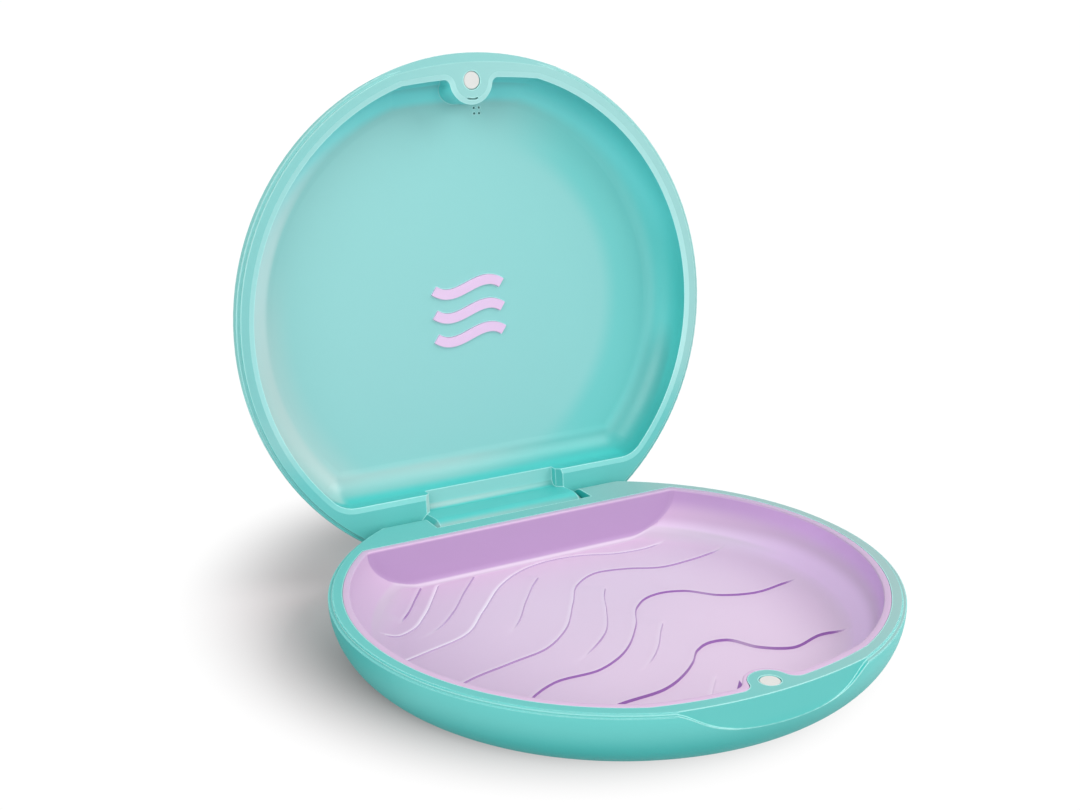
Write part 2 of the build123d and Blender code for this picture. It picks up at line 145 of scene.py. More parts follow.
# Floor mesh: rows of places along each wave, at these distances across it, and an even filler of
# triangles in between, whose rows lie closer than the places in a row. All keep KEEP_IN from the
# floor's ring, and the filler keeps a share of its pitch from the waves. DIP_ROOM is more than the
# deepest dip
WAVE_PITCH = 0.5
WAVE_ROWS = (-1.6, -0.7, -0.3, -0.1, 0.1, 0.35, 0.8, 1.6, 2.6)
FLOOR_REACH = 42
FLOOR_PITCH = 1.1
ROW_SHARE = 0.866
KEEP_IN = 0.35
FILLER_GAP = 0.55
DIP_ROOM = 0.3

# Places this close are one when the floor is cut, and when the seam is welded, there in metres
TOUCH = 1e-4
WELD_REACH = 2e-6

# Edges that turn more than this are sharp, and so many places are measured at a time
SHARP_TURN = math.radians(35.0)
AT_ONCE = 1000


class Wire:
    """A shader socket that can be written in sums: each operator adds its Math node."""

    def __init__(self, tree, socket=None):
        self.tree = tree
        self.socket = socket

    def node(self, kind, settings=None, sockets=None, output=0):
        """Add a node: its settings first, then the values or links of its sockets."""
        made = self.tree.nodes.new(kind)
        for name, value in (settings or {}).items():
            setattr(made, name, value)
        for name, value in (sockets or {}).items():
            if isinstance(value, Wire):
                self.tree.links.new(value.socket, made.inputs[name])
            else:
                made.inputs[name].default_value = value
        return Wire(self.tree, made.outputs[output])

    def maths(self, operation, *values):
        return self.node("ShaderNodeMath", {"operation": operation}, dict(enumerate(values)))

    def mixed(self, first, second):
        """Colour between two colours, with this socket as the factor."""
        return self.node("ShaderNodeMix", {"data_type": "RGBA"}, {0: self, 6: first, 7: second}, 2)

    def __add__(self, other):
        return self.maths("ADD", self, other)

    def __radd__(self, other):
        return self.maths("ADD", other, self)

    def __sub__(self, other):
        return self.maths("SUBTRACT", self, other)

    def __rsub__(self, other):
        return self.maths("SUBTRACT", other, self)

    def __mul__(self, other):
        return self.maths("MULTIPLY", self, other)

    def __rmul__(self, other):
        return self.maths("MULTIPLY", other, self)


def colour(red, green, blue):
    """Linear colour of an sRGB colour given in 0 to 255."""
    def linear(level):
        share = level / 255
        return share / 12.92 if share <= 0.04045 else ((share + 0.055) / 1.055) ** 2.4
    return (linear(red), linear(green), linear(blue), 1.0)


def object_place(wire):
    return wire.node("ShaderNodeTexCoord", output=3)


def object_normal(wire):
    return wire.node("ShaderNodeTexCoord", output=1)


def attribute(wire, name):
    return wire.node("ShaderNodeAttribute", {"attribute_name": name}, None, 2)


def axis_of(vector, axis):
    return vector.node("ShaderNodeSeparateXYZ", None, {"Vector": vector}, axis)


def vector_maths(operation, first, second):
    """Vector that comes of two vectors."""
    return first.node("ShaderNodeVectorMath", {"operation": operation}, {0: first, 1: second})


def vector_measure(operation, *vectors):
    """Number that comes of one or two vectors."""
    return vectors[0].node("ShaderNodeVectorMath", {"operation": operation},
                           dict(enumerate(vectors)), 1)


def between(wire, low, high):
    """Smooth rise from 0 at low to 1 at high."""
    return wire.node("ShaderNodeMapRange", {"interpolation_type": "SMOOTHSTEP"},
                     {"Value": wire, "From Min": low, "From Max": high})


def layered(shade, *layers):
    """A colour with others laid over it in turn, each through its mask."""
    for mask, over in layers:
        shade = mask.mixed(shade, over)
    return shade


def noise(place, scale, detail, roughness=0.5):
    return place.node("ShaderNodeTexNoise", None,
                      {"Vector": place, "Scale": scale, "Detail": detail, "Roughness": roughness})


def edge_light(wire):
    """Mask of the painted edge highlights: 1 along sharp edges, 0 elsewhere, from how far a rounded
    normal turns from the real one.
    """
    rounded = wire.node("ShaderNodeBevel", {"samples": 6}, {"Radius": EDGE_REACH})
    real = wire.node("ShaderNodeNewGeometry", output=1)
    return between(1.0 - vector_measure("DOT_PRODUCT", rounded, real), 0.004, 0.07)


def new_material(name, constants):
    """Material with one Principled shader that has these constants: the material, its shader and a
    wire of its tree."""
    made = bpy.data.materials.new(name)
    made.use_nodes = True
    shader = made.node_tree.nodes["Principled BSDF"]
    for socket, value in constants.items():
        shader.inputs[socket].default_value = value
    return made, shader, Wire(made.node_tree)


def feed(shader, varying):
    """Link a wire to each named socket of a shader."""
    for socket, wire in varying.items():
        wire.tree.links.new(wire.socket, shader.inputs[socket])


def moulded_plastic(name, low, high, roughness, grain, constants=None, shade=None):
    """Spark-eroded moulding: two close colours in soft clouds, and a fine even grain. A shade is
    a function that paints light and shade into the colour: highlights, sheen and shade where the
    lamps would fall."""
    made, shader, wire = new_material(name, {"IOR": PLASTIC_IOR, **(constants or {})})
    place = object_place(wire)
    clouds = noise(place, CLOUD_SCALE, 2.0)
    specks = noise(place, SPECK_SCALE, 2.0, 0.6)
    handled = noise(place, HANDLED_SCALE, 3.0)
    tint = (clouds * 0.7 + specks * 0.3).mixed(low, high)
    feed(shader, {
        "Base Color": shade(place, tint) if shade else tint,
        "Roughness": roughness - 0.04 + handled * 0.06 + specks * 0.04,
        "Normal": specks.node("ShaderNodeBump", None,
                              {"Height": specks, "Strength": 0.35, "Distance": grain}),
    })
    return made


def ring_mesh(rings):
    """Places and quads of a mesh between closed rings, given as an array (rings, places, 3)."""
    index = np.arange(rings.shape[0] * rings.shape[1]).reshape(rings.shape[:2])
    ahead = np.roll(index, -1, axis=1)
    quads = np.stack([index[:-1], ahead[:-1], ahead[1:], index[1:]], axis=-1).reshape(-1, 4)
    return rings.reshape(-1, 3), quads


def smooth_min(first, second, reach):
    """Lower of two distances, rounded where they are within reach of each other."""
    overlap = np.clip(1 - np.abs(first - second) / reach, 0, 1)
    return np.minimum(first, second) - overlap ** 2 * reach / 4


def inside(x, y, side, rear, tab):
    """Distance to the liner's outline moved in by the insets side, rear and tab."""
    round_wall = LINER_RADIUS - side - np.hypot(x, y)
    front_middle = LINER_FRONT_RADIUS - LINER_FRONT
    front_wall = LINER_FRONT_RADIUS - side - np.hypot(x, y - front_middle)
    rear_wall = LINER_REAR - rear - y
    tab_wall = np.hypot(x, y - MAGNET_Y) - TAB_RADIUS - tab
    walls = smooth_min(np.minimum(round_wall, front_wall), rear_wall, REAR_CORNER)
    return smooth_min(walls, tab_wall, TAB_ROOT)


def halved(low, high, rises, rounds):
    """Both ends of a span narrowed by halving: where rises(middle) is true the low end moves up to
    the middle, elsewhere the high end comes down to it."""
    for _ in range(rounds):
        middle = (low + high) / 2
        up = rises(middle)
        low = np.where(up, middle, low)
        high = np.where(up, high, middle)
    return low, high


def contour(turns, insets):
    """Places in plan where the rays meet the outline moved in by its insets."""
    cosine, sine = np.cos(turns), np.sin(turns)
    reach, _ = halved(np.zeros_like(turns), np.full_like(turns, RAY_REACH),
                      lambda far: inside(far * cosine, RAY_MIDDLE + far * sine, *insets) > 0, 40)
    return reach * cosine, RAY_MIDDLE + reach * sine


def ray_turns():
    """Angles of the rays: even all round, closer at the magnet tab and the two rear corners."""
    even = np.linspace(-math.pi, math.pi, EVEN_RAYS, endpoint=False)
    tab = np.radians(np.linspace(*TAB_TURNS, TAB_RAYS))
    corners = [np.radians(np.linspace(turn - CORNER_SPREAD, turn + CORNER_SPREAD, CORNER_RAYS))
               for turn in CORNER_TURNS]
    return np.unique(np.round(np.concatenate([even, tab, *corners]), 5))


def floor_inset(height, fillet):
    """How far a fillet has moved the wall in at a height above the floor."""
    below = np.maximum(fillet - height, 0)
    return fillet - np.sqrt(fillet ** 2 - below ** 2)


def dish_insets(side_height, rear_height):
    """Insets of the dish's side, rear and tab walls at heights above its floor."""
    lip = FIT + LIP_WIDTH
    side = lip + DISH_DRAFT * (WALL_TOP - side_height) + floor_inset(side_height, DISH_FILLET)
    rear = lip + REAR_DRAFT * (WALL_TOP - rear_height) + floor_inset(rear_height, REAR_FILLET)
    return side, rear, FIT + TAB_LIP_WIDTH


def dish_height(x, y):
    """Height of the dish above its floor at places in plan."""
    _, height = halved(np.zeros_like(x), np.full_like(x, 2 * EVEN_LEVEL),
                       lambda level: inside(x, y, *dish_insets(level, level)) <= 0, 30)
    return height


def floor_depth(x, y):
    """How far a place lies inside the outline of the floor's mesh."""
    return inside(x, y, *dish_insets(*SLANTED_LEVELS[-1]))


def liner_rings():
    """Insets (side, rear, tab) and height of each level ring, from the pocket's floor up the
    outside, over the lip and down into the dish."""
    rings = []
    belly = BELLY_TOP - POCKET_FLOOR
    for height in np.linspace(POCKET_FLOOR + FIT, BELLY_TOP, BELLY_RINGS):
        depth = (BELLY_TOP - height) / belly
        round_in = belly * (1 - math.sqrt(1 - (depth * BELLY_SHARE) ** 2))
        rings.append((FIT + max(round_in - BELLY_OUT, 0), FIT, FIT, height))
    for turn in np.radians(LIP_OUTER_TURNS):
        edge = FIT + LIP_ROUND / 2 * (1 + math.cos(turn))
        rings.append((edge, edge, edge, RIM - LIP_ROUND / 2 * (1 - math.sin(turn))))
    lip = FIT + LIP_WIDTH
    for turn in np.radians(LIP_INNER_TURNS):
        rounded = LIP_ROUND * (1 - math.cos(turn))
        tab = FIT + TAB_LIP_WIDTH - rounded
        rings.append((lip - rounded, lip - rounded, tab, RIM - LIP_ROUND * (1 - math.sin(turn))))
    last_turn = math.degrees(math.acos(1 - EVEN_LEVEL / DISH_FILLET))
    turns = np.radians(np.linspace(DISH_TOP_TURN, last_turn, DISH_RINGS))
    upper = np.linspace(WALL_TOP, DISH_FILLET, 3)[1:]
    for height in (*upper, *DISH_FILLET * (1 - np.cos(turns))):
        rings.append((*dish_insets(height, height), FLOOR + height))
    return rings


def smooth_line(points, pitch):
    """Smooth line through points, sampled about every pitch: Catmull-Rom on their arc lengths."""
    knots = np.array(points, float)
    spans = np.hypot(*np.diff(knots, axis=0).T)
    place = np.concatenate([[0], np.cumsum(spans)])
    slope = np.gradient(knots, place, axis=0)
    at = np.linspace(0, place[-1], max(int(place[-1] / pitch), 4))
    span = np.clip(np.searchsorted(place, at, side="right") - 1, 0, len(spans) - 1)
    width = spans[span]
    share = ((at - place[span]) / width)[:, None]
    start, end = knots[span], knots[span + 1]
    lean_start, lean_end = slope[span] * width[:, None], slope[span + 1] * width[:, None]
    return ((2 * share ** 3 - 3 * share ** 2 + 1) * start
            + (share ** 3 - 2 * share ** 2 + share) * lean_start
            + (3 * share ** 2 - 2 * share ** 3) * end
            + (share ** 3 - share ** 2) * lean_end)


def left_of(line):
    """Unit normals to the left of a line's direction."""
    run = np.gradient(line, axis=0)
    run /= np.linalg.norm(run, axis=1)[:, None]
    return np.stack([-run[:, 1], run[:, 0]], axis=1)


def ease(share):
    """Smooth rise from 0 at 0 to 1 at 1."""
    share = np.clip(share, 0, 1)
    return share * share * (3 - 2 * share)


def nearest_of(x, y, points):
    """Index of the point nearest to each place, and how far off it is."""
    index = np.empty(len(x), int)
    apart = np.empty(len(x))
    for start in range(0, len(x), AT_ONCE):
        part = slice(start, start + AT_ONCE)
        gaps = np.hypot(x[part, None] - points[:, 0], y[part, None] - points[:, 1])
        index[part] = gaps.argmin(axis=1)
        apart[part] = gaps.min(axis=1)
    return index, apart


def wave_places(x, y):
    """For each wave: the distance across its line, its strength there, its step and how strongly
    its upper edge is painted with a highlight."""
    for points, step, pale, fade_front, fade_rear in WAVES:
        line = smooth_line(points, LINE_PITCH)
        normal = left_of(line)
        length = np.concatenate([[0], np.cumsum(np.hypot(*np.diff(line, axis=0).T))])
        nearest, _ = nearest_of(x, y, line)
        off_x, off_y = x - line[nearest, 0], y - line[nearest, 1]
        across = off_x * normal[nearest, 0] + off_y * normal[nearest, 1]
        beyond = np.sqrt(np.maximum(off_x ** 2 + off_y ** 2 - across ** 2, 0))
        strength = (ease(length[nearest] / fade_front)
                    * ease((length[-1] - length[nearest]) / fade_rear)
                    * np.exp(-(beyond / END_DECAY) ** 2))
        yield across, strength, step, pale


def relief(x, y):
    """Height of the terraces above the tray's floor: at each wave a step up to its left and rear
    side that dies away behind it, with a shallow dip in front of it."""
    total = np.zeros_like(x)
    for across, strength, step, _ in wave_places(x, y):
        high = ease(across / STEP_WIDTH + 0.5)
        behind = high * np.exp(-np.maximum(across, 0) / STEP_DECAY)
        before = (1 - high) * np.exp(np.minimum(across, 0) / DIP_DECAY)
        total += strength * step * (behind - STEP_DIP * before)
    return total


def step_shares(x, y):
    """How strongly each place on the floor takes the painted shade of a step's face and the painted
    highlight of its upper edge.
    """
    face = np.zeros_like(x)
    edge = np.zeros_like(x)
    for across, strength, step, pale in wave_places(x, y):
        near = strength * (np.abs(across) < STEP_WIDTH)
        face = np.maximum(face, near * min(step / FULL_STEP, 1))
        above = strength * (across > 0) * np.maximum(1 - across / CREST_WIDTH, 0)
        edge = np.maximum(edge, above * pale)
    return face, edge


def is_within(places, ring):
    """Whether each place lies inside a closed ring: a line to its right crosses the ring's sides an
    odd number of times."""
    x, y = places[:, 0, None], places[:, 1, None]
    start_x, start_y = ring.T
    end_x, end_y = np.roll(ring, -1, axis=0).T
    rise = np.where(end_y == start_y, 1, end_y - start_y)
    at = start_x + (y - start_y) / rise * (end_x - start_x)
    crossed = ((start_y > y) != (end_y > y)) & (at > x)
    return crossed.sum(axis=1) % 2 == 1


def wave_rows():
    """The rows of places along every wave, and whether each is an edge of its step's face."""
    for points, *_ in WAVES:
        line = smooth_line(points, WAVE_PITCH)
        normal = left_of(line)
        for offset in WAVE_ROWS:
            yield line + normal * offset, abs(offset) < STEP_WIDTH


def floor_filler(near):
    """Even triangular grid of places on the floor, clear of the places near the waves."""
    across = np.arange(-FLOOR_REACH, FLOOR_REACH, FLOOR_PITCH)
    x, y = np.meshgrid(across, across * ROW_SHARE)
    x = x + np.where(np.arange(len(across)) % 2, FLOOR_PITCH / 2, 0)[:, None]
    filler = np.stack([x.ravel(), y.ravel()], axis=1)
    filler = filler[floor_depth(*filler.T) > KEEP_IN]
    _, apart = nearest_of(*filler.T, near)
    return filler[apart > FILLER_GAP * FLOOR_PITCH]


def tray_floor(ring):
    """Places in plan and triangles of the tray's floor inside its ring, cut along both edges of
    every step's face."""
    rows = []
    links = []
    count = len(ring)
    for line, is_edge in wave_rows():
        good = floor_depth(*line.T) > KEEP_IN
        index = np.full(len(line), -1)
        index[good] = count + np.arange(good.sum())
        rows.append(line[good])
        count += int(good.sum())
        if is_edge:
            pairs = np.stack([index[:-1], index[1:]], axis=1)
            links.append(pairs[(pairs >= 0).all(axis=1)])
    near = np.concatenate(rows)
    places = np.concatenate([ring, near, floor_filler(near)])
    inner_triangles = 1
    found = delaunay_2d_cdt(places.tolist(), np.concatenate(links).tolist(),
                            [list(range(len(ring)))], inner_triangles, TOUCH, False)
    flat = np.array(found[0])
    triangles = np.array(found[2])
    return flat, triangles[is_within(flat[triangles].mean(axis=1), ring)]


def add_mesh(name, places, faces, body, material):
    """Smooth mesh object of places in millimetres, sharp at edges that turn past SHARP_TURN."""
    mesh = bpy.data.meshes.new(name)
    mesh.from_pydata((places * MM).tolist(), [], faces)
    mesh.validate()
    mesh.polygons.foreach_set("use_smooth", np.ones(len(mesh.polygons), bool))
    mesh.set_sharp_from_angle(angle=SHARP_TURN)
    mesh.materials.append(material)
    made = bpy.data.objects.new(name, mesh)
    bpy.context.scene.collection.objects.link(made)
    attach(made, body)
    return made


def weld(mesh):
    """Merge the seam between the walls and the floor and turn all faces outwards."""
    work = bmesh.new()
    work.from_mesh(mesh)
    bmesh.ops.remove_doubles(work, verts=work.verts, dist=WELD_REACH)
    bmesh.ops.recalc_face_normals(work, faces=work.faces)
    work.to_mesh(mesh)
    work.free()


def mark_steps(mesh):
    """Vertex attributes that carry painted light: step, the painted shade of a step's face, is 1 on
    the two edges of a high wave and less on lower ones; crest_highlight is how strongly the upper
    edge is painted with a highlight."""
    held = np.empty(len(mesh.vertices) * 3)
    mesh.vertices.foreach_get("co", held)
    x, y, z = held.reshape(-1, 3).T / MM
    on_floor = (z < FLOOR + EVEN_LEVEL) & (z > FLOOR - DIP_ROOM)
    for name, share in zip(("step", "crest_highlight"), step_shares(x[on_floor], y[on_floor])):
        value = np.zeros(len(x))
        value[on_floor] = share
        mesh.attributes.new(name, "FLOAT", "POINT").data.foreach_set("value", value)


def tray_liner(material):
    """Soft liner: rings from its underside up its outside, over the lip and down into the tray,
    closed below by a fan and inside by the floor with its waves."""
    turns = ray_turns()
    rings = []
    for *insets, height in liner_rings():
        x, y = contour(turns, insets)
        rings.append(np.stack([x, y, np.full_like(x, height)], axis=1))
    for side_height, rear_height in SLANTED_LEVELS:
        x, y = contour(turns, dish_insets(side_height, rear_height))
        height = np.where(y > 0, dish_height(x, y), side_height)
        rings.append(np.stack([x, y, FLOOR + height], axis=1))
    walls, quads = ring_mesh(np.array(rings))
    bottom = rings[0].mean(axis=0)
    bottom[2] = rings[0][0, 2]
    start = np.arange(len(turns))
    fan = np.stack([np.roll(start, -1), start, np.full_like(start, len(walls))], axis=1)

    last_ring = rings[-1]
    flat, triangles = tray_floor(last_ring[:, :2])
    depth = floor_depth(*flat.T)
    height = FLOOR + dish_height(*flat.T)
    on_ring = depth < TOUCH
    height[on_ring] = last_ring[nearest_of(*flat[on_ring].T, last_ring[:, :2])[0], 2]
    lift = relief(*flat.T) * ease(depth / RISE_IN)
    floor = np.column_stack([flat, height + lift])

    places = np.concatenate([walls, bottom[None], floor])
    faces = [*quads.tolist(), *fan.tolist(), *(triangles + len(walls) + 1).tolist()]
    made = add_mesh("soft_tray_liner", places, faces, "root", material)
    weld(made.data)
    mark_steps(made.data)
    return made


# Moulded plastic: its gloss, and how close its clouds, its specks and its handled patches are
PLASTIC_IOR = 1.46
CLOUD_SCALE = 60.0
SPECK_SCALE = 5200.0
HANDLED_SCALE = 260.0

# How far from a sharp edge the painted edge highlight reaches
EDGE_REACH = 0.0003

# Teal of the two shells, and the painted light and shade laid over it: painted highlights, sheen
# and shade
TEAL_LOW = colour(72, 188, 184)
TEAL_HIGH = colour(80, 193, 188)
TEAL_EDGE_HIGHLIGHT = colour(182, 234, 231)

BASE_SIDE_LIGHT = colour(108, 201, 197)
BASE_SCOOP_SHADE = colour(93, 182, 178)
BASE_SHADE = colour(4, 166, 162)
BASE_RIM_SHEEN = colour(150, 183, 181)
TEAL_DEEP_SHADE = colour(4, 180, 176)

LID_FLOOR_SHEEN = colour(134, 198, 195)
LID_DOWNWARD_LIGHT = colour(114, 222, 220)
LID_RIGHT_SHADE = colour(68, 174, 170)
LID_FOOT_SHADE = colour(72, 169, 165)
LID_FOOT_HIGHLIGHT = colour(142, 184, 181)
LID_GLEAM = colour(180, 206, 202)
LID_HIGH_GLEAM = colour(194, 222, 220)
LID_RIM_SHEEN = colour(143, 197, 194)
LID_LEFT_RIM_SHEEN = colour(114, 187, 184)
LID_LOW_RIM_SHEEN = colour(92, 188, 184)
LID_TOP_SHADE = colour(122, 186, 184)

# Lilac of the liner, and the painted light and shade laid over it: painted shade on the lip,
# slopes, walls and step faces, and painted highlights on the fillets and the steps' upper edges
LILAC_LOW = colour(215, 190, 215)
LILAC_HIGH = colour(221, 198, 221)
LILAC_LIP_SHADE = colour(207, 178, 208)
LILAC_RIGHT_LIP_SHADE = colour(195, 169, 199)
LILAC_SLOPE_SHADE = colour(197, 171, 201)
LILAC_FILLET_LIGHT = colour(220, 190, 226)
LILAC_REAR_FILLET_LIGHT = colour(222, 202, 227)
LILAC_STEEP_SHADE = colour(198, 170, 201)
LILAC_SIDE_WALL_SHADE = colour(204, 166, 215)
LILAC_REAR_SIDE_WALL_SHADE = colour(184, 152, 195)
LILAC_REAR_WALL_SHADE = colour(177, 147, 188)
LILAC_FOOT_SHADE = colour(198, 184, 201)
LILAC_CREST_HIGHLIGHT = colour(248, 240, 250)
LILAC_STEP_SHADE = colour(136, 88, 158)

# Direction of the base's left side, which is painted in shade
BASE_LEFT = (-0.851, 0.525, 0.0)

# Where the blind end of the pin's bore just reaches the base's side: no edge highlight is painted
# there
BORE_END = (-0.02298, 0.03687, 0.00698)

# Direction in which the open lid's mouth looks, and the height of the lid's middle
LID_MOUTH = (0.0, -0.9962, 0.0872)
LID_MIDDLE = 0.0433

# Corners of a small triangle of painted shade where the last wave ends beside the magnet tab, in
# millimetres: a shaded facet that the mesh does not have
PAINTED_SHADE_FACET = ((3.1, -27.9), (4.7, -28.1), (5.4, -25.4))


def base_painted_light(place, tint):
    """Painted light and shade: paler on the side, on the rim, most so to the right, and along sharp
    edges, as painted sheen and highlights; deeper low down, in the scoop and on the left, as
    painted shade."""
    sideways, depth, height = (axis_of(place, axis) for axis in range(3))
    normal = object_normal(place)
    upward = axis_of(normal, 2)
    side = between(upward, 0.35, 0.1)
    in_scoop = (between(upward, 0.16, 0.22) * between(upward, 0.9, 0.8)
                * between(depth, -0.030, -0.032))
    low_down = between(height, 0.0085, 0.0020)
    leftward = (between(vector_measure("DOT_PRODUCT", normal, BASE_LEFT), 0.55, 0.92)
                * between(upward, 0.6, 0.3))
    to_right = between(sideways, -0.020, 0.046) * 0.7 + 0.3
    on_rim = between(upward, 0.9, 0.99) * between(height, 0.0098, 0.0104)
    off_bore = between(vector_measure("DISTANCE", place, BORE_END), 0.0010, 0.0016)
    return layered(
        tint,
        (side, BASE_SIDE_LIGHT),
        (in_scoop, BASE_SCOOP_SHADE),
        (low_down, TEAL_DEEP_SHADE),
        (leftward * 0.9, BASE_SHADE),
        (on_rim * to_right, BASE_RIM_SHEEN),
        (edge_light(place) * off_bore, TEAL_EDGE_HIGHLIGHT),
    )


def lid_painted_light(place, tint):
    """Painted light and shade: paler, as painted sheen and highlights, on the faces that look out
    of the lid's mouth, on its rim, on the fillets at the left and the foot of the bowl and along
    sharp edges; deeper, as painted shade, towards the right, the top and the hinge."""
    sideways, _, height = (axis_of(place, axis) for axis in range(3))
    normal = object_normal(place)
    facing = vector_measure("DOT_PRODUCT", normal, LID_MOUTH)
    across = axis_of(normal, 0)
    upward = axis_of(normal, 2)
    above_hinge = between(height, 0.018, 0.034)
    rise = height - LID_MIDDLE
    outward = place.maths("SQRT", sideways * sideways + rise * rise)

    # Painted sheen on the floor of the bowl, less to the right and darker in a crescent of painted
    # shade at the right, with a painted glow of the fillets at the left
    rightward = between(sideways, 0.006, 0.024)
    crescent = between(outward, 0.0265, 0.0310) * rightward * 0.65
    level = between(sideways, 0.060, -0.030) * 0.25 + 0.75
    floor = between(facing + across * 0.35, 0.55, 0.98) * level * (1.0 - crescent)
    glow = (between(outward, 0.0320, 0.0375) * between(sideways, -0.014, -0.026)
            * between(height, 0.058, 0.040) * between(facing, 0.6, 0.9) * 0.5)

    # Painted light and shade on the walls of the bowl by the way that they look, and on the fillets
    # between them and the floor, with a painted gleam on the left fillet
    downward = between(upward, -0.02, -0.35) * (1.0 - rightward * 0.5)
    low_right = (between(across, -0.10, -0.40) * between(across, -0.98, -0.80)
                 * between(height, 0.038, 0.028))
    on_fillet = between(facing, 0.15, 0.4)
    foot_fillet = between(upward, 0.15, 0.4) * between(upward, 0.98, 0.8) * on_fillet
    foot = between(sideways, 0.020, -0.010).mixed(LID_FOOT_SHADE, LID_FOOT_HIGHLIGHT)
    left_fillet = (between(across, 0.06, 0.30) * between(across, 0.95, 0.75) * on_fillet
                   * between(height, 0.082, 0.055))
    gleam = between(height, 0.030, 0.052).mixed(LID_GLEAM, LID_HIGH_GLEAM)
    by_hinge = (between(upward, 0.3, 0.8) * between(height, 0.0125, 0.0135)
                * (1.0 - above_hinge) * 0.3)

    # Painted sheen on the rim, a painted highlight on its leaning band and painted shade at the top
    # of the mouth
    on_rim = (between(vector_measure("DOT_PRODUCT", place, LID_MOUTH), -0.0405, -0.0390)
              * between(facing, 0.8, 0.94))
    rim = between(sideways, -0.044, 0.020).mixed(LID_LEFT_RIM_SHEEN, LID_RIM_SHEEN)
    band = on_rim * between(facing, 0.988, 0.975) * (above_hinge * 0.3 + 0.15)
    top = between(height, 0.0800, 0.0830) * between(facing, 0.5, 0.6) * between(facing, 0.94, 0.85)
    outside = between(outward, 0.0410, 0.0420)
    return layered(
        tint,
        (floor, LID_FLOOR_SHEEN),
        (glow, LID_GLEAM),
        (downward, LID_DOWNWARD_LIGHT),
        (low_right, LID_RIGHT_SHADE),
        (foot_fillet * 0.85, foot),
        (left_fillet * 0.8, gleam),
        (by_hinge, TEAL_DEEP_SHADE),
        (on_rim * (1.0 - above_hinge), LID_LOW_RIM_SHEEN),
        (on_rim * above_hinge, rim),
        (top, LID_TOP_SHADE),
        (band, TEAL_EDGE_HIGHLIGHT),
        (edge_light(place) * (1.0 - outside * 0.6), TEAL_EDGE_HIGHLIGHT),
    )


def in_painted_shade_facet(place):
    """1 inside the triangle of painted shade: the least distance from its three sides decides."""
    least = None
    for first, second in zip(PAINTED_SHADE_FACET, PAINTED_SHADE_FACET[1:] + PAINTED_SHADE_FACET[:1]):
        run = Vector(second) - Vector(first)
        inward = Vector((-run.y, run.x, 0)).normalized()
        offset = inward.dot(Vector((*first, 0))) * MM
        depth = vector_measure("DOT_PRODUCT", place, tuple(inward)) - offset
        least = depth if least is None else least.maths("MINIMUM", least, depth)
    return between(least, -0.00008, 0.00004)


def liner_painted_light(place, tint):
    """Painted light and shade: deeper, as painted shade, on the lip, the slopes, the side walls and
    the rear wall and most of all on the faces of the steps; pale, as painted highlights, on the
    upper edges of the steps, with painted light on the fillets that look to the left."""
    sideways, depth, height = (axis_of(place, axis) for axis in range(3))
    normal = object_normal(place)
    upward = axis_of(normal, 2)
    forward = 0.0 - axis_of(normal, 1)
    below_lip = between(height, (RIM - 0.1) * MM, (RIM - 0.5) * MM)
    low = between(height, (FLOOR + 1.8) * MM, (FLOOR + 1.3) * MM)

    # Painted shade on the lip, more so to the right, and on the floor's two darker sides
    to_left = between(sideways, -0.004, -0.038) * 0.7
    to_right = between(sideways, 0.016, 0.034) * 0.45
    lip = between(sideways, 0.000, 0.026).mixed(LILAC_LIP_SHADE, LILAC_RIGHT_LIP_SHADE)
    floor = (to_left + to_right).mixed(tint, LILAC_SLOPE_SHADE)

    # Painted light and shade on walls that look to the left, from the fillet at their foot up, and
    # painted shade on those that look forward, with a painted highlight along their foot
    to_rear = between(depth, 0.000, 0.026)
    leftward = between(axis_of(normal, 0), 0.3, -0.2)
    slope = between(upward, 0.99, 0.85) * below_lip
    fillet = to_rear.mixed(LILAC_FILLET_LIGHT, LILAC_REAR_FILLET_LIGHT)
    steepness = upward - between(depth, 0.005, 0.022) * 0.10
    steep = between(steepness, 0.74, 0.48) * leftward * below_lip
    side_wall = between(upward, 0.55, 0.2) * leftward * below_lip
    rear_wall = between(forward, 0.66, 0.84) * below_lip
    rear_foot = between(forward, 0.05, 0.3) * between(forward, 0.9, 0.7) * low * 0.7
    foot_line = between(forward, 0.3, 0.5) * between(forward, 0.85, 0.65) * low * 0.15

    # Painted shade on the faces of the steps by the way that they look, and painted highlights on
    # their upper edges
    flat_normal = place.node("ShaderNodeNewGeometry", output=3)
    upright = between(axis_of(flat_normal, 2), 0.97, 0.8)
    level = forward.maths("DIVIDE", forward, upward.maths("SQRT", 1.02 - upward * upward))
    crest_highlight = attribute(place, "crest_highlight") * (1.0 - upright) * low
    step = attribute(place, "step") * upright * low * (between(level, 0.1, 1.0) * 0.65 + 0.35)
    return layered(
        below_lip.mixed(lip, floor),
        (slope * leftward, fillet),
        (slope * (1.0 - leftward) * 0.3, LILAC_SLOPE_SHADE),
        (steep, LILAC_STEEP_SHADE),
        (side_wall, to_rear.mixed(LILAC_SIDE_WALL_SHADE, LILAC_REAR_SIDE_WALL_SHADE)),
        (rear_wall, LILAC_REAR_WALL_SHADE),
        (rear_foot, LILAC_FOOT_SHADE),
        (foot_line, LILAC_CREST_HIGHLIGHT),
        (crest_highlight, LILAC_CREST_HIGHLIGHT),
        (step, LILAC_STEP_SHADE),
        (in_painted_shade_facet(place) * low, LILAC_STEP_SHADE),
    )


